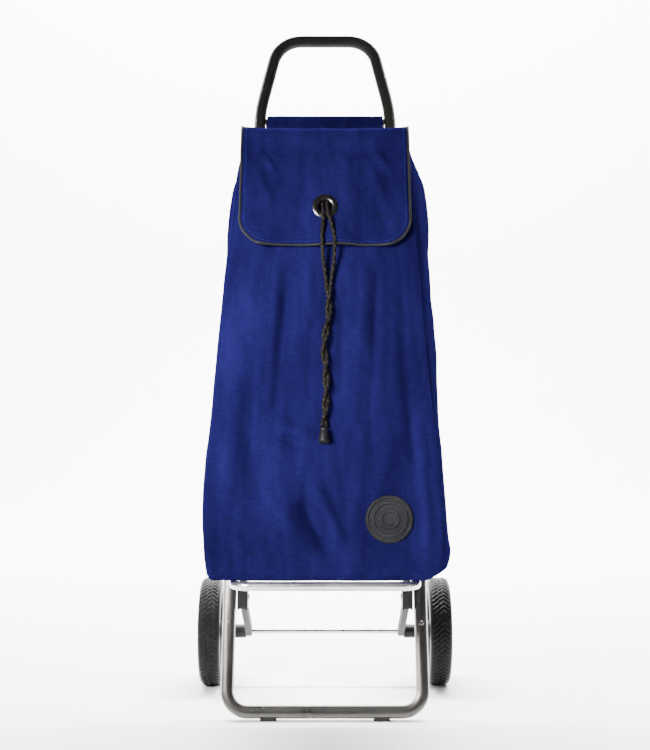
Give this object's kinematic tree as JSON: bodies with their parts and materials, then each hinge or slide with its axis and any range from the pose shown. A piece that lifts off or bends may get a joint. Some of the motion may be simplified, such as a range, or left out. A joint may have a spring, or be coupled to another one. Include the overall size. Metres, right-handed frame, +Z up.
{
  "type": "folding shopping trolley",
  "caption": "Folding shopping trolley: leaning tube frame with arched handle, soft tapered cloth bag with lid flap and drawcord, fold-up platform and fold-in wheel carriage.",
  "frame": {"origin": "bottom centre of the bounding box, on the floor", "axes": "+Z up, +X to the viewer's right, -Y is the front that the bag faces"},
  "size_m": [0.392, 0.4906, 1.0219],
  "materials": {
    "anodised_tube": "satin dark anodised",
    "polished_tube": "polished",
    "handle_trim": "matte",
    "black_plastic": "fine-grained matte",
    "webbing": "woven",
    "steel": "bright",
    "rubber": "matte",
    "grey_plastic": "satin",
    "tyre": "matte with a herringbone tread",
    "nylon": "waxy",
    "blue_cloth": "woven polyester, soft sheen",
    "base_board": "matte",
    "piping": "matte",
    "gunmetal": "dark polished",
    "cord": "braided"
  },
  "bodies": {
    "frame": {"lower_frame_tube": "anodised_tube", "handle_tube": "polished_tube", "handle_trim": "handle_trim", "frame_joiner_left": "black_plastic", "frame_joiner_right": "black_plastic", "leg_rivet_left": "steel", "leg_rivet_right": "steel", "foot_pad_left": "rubber", "foot_pad_right": "rubber", "hanger_rod": "steel", "hanger_end_left": "black_plastic", "hanger_end_right": "black_plastic", "bag_hanger_sleeve": "blue_cloth", "hinge_bracket_left": "black_plastic", "hinge_bracket_right": "black_plastic", "platform_pin_left": "steel", "platform_pin_right": "steel", "arm_pin_left": "steel", "arm_pin_right": "steel", "bag_front_panel": "blue_cloth", "bag_back_panel": "blue_cloth", "bag_gusset_left": "blue_cloth", "bag_gusset_right": "blue_cloth", "bag_base_panel": "blue_cloth", "bag_base_board": "base_board", "bag_mouth_hem": "blue_cloth", "bag_tie_strap_left": "webbing", "bag_tie_strap_right": "webbing", "badge_disc": "black_plastic", "badge_washer": "black_plastic", "drawcord_loop": "cord", "drawcord_strand_left": "cord", "drawcord_strand_right": "cord", "cord_bell": "black_plastic"},
    "flap": {"flap_panel": "blue_cloth", "flap_piping": "piping", "eyelet_front": "gunmetal", "eyelet_back": "gunmetal"},
    "platform": {"platform_tube": "polished_tube", "platform_eye_left": "black_plastic", "platform_eye_right": "black_plastic"},
    "wheel_carriage": {"wheel_arm_left": "grey_plastic", "wheel_arm_right": "grey_plastic", "axle_rod": "steel", "axle_bush_left": "black_plastic", "axle_bush_right": "black_plastic", "axle_clip_left": "steel", "axle_clip_right": "steel"},
    "left_wheel": {"tyre_left": "tyre", "wheel_rim_left": "grey_plastic", "hub_cap_left": "black_plastic", "wheel_bearing_left": "nylon"},
    "right_wheel": {"tyre_right": "tyre", "wheel_rim_right": "grey_plastic", "hub_cap_right": "black_plastic", "wheel_bearing_right": "nylon"}
  },
  "joints": [
    {"name": "flap_lift", "type": "hinge", "parent": "frame", "child": "flap", "pos_m": [0, 0.15675, 0.85], "axis": [-1, 0, 0], "range_deg": [0, 100], "deforming": ["drawcord_strand_left", "drawcord_strand_right"]},
    {"name": "platform_fold", "type": "hinge", "parent": "frame", "child": "platform", "pos_m": [0, -0.04125, 0.211], "axis": [-1, 0, 0], "range_deg": [0, 80], "deforming": ["bag_base_panel", "bag_base_board", "bag_front_panel", "bag_gusset_left", "bag_gusset_right", "badge_disc", "badge_washer"]},
    {"name": "wheel_fold", "type": "hinge", "parent": "frame", "child": "wheel_carriage", "pos_m": [0, -0.01125, 0.163], "axis": [1, 0, 0], "range_deg": [0, 80]},
    {"name": "left_wheel_spin", "type": "hinge", "parent": "wheel_carriage", "child": "left_wheel", "pos_m": [-0.1755, 0.16275, 0.0825], "axis": [1, 0, 0], "continuous": true},
    {"name": "right_wheel_spin", "type": "hinge", "parent": "wheel_carriage", "child": "right_wheel", "pos_m": [0.1755, 0.16275, 0.0825], "axis": [1, 0, 0], "continuous": true}
  ]
}
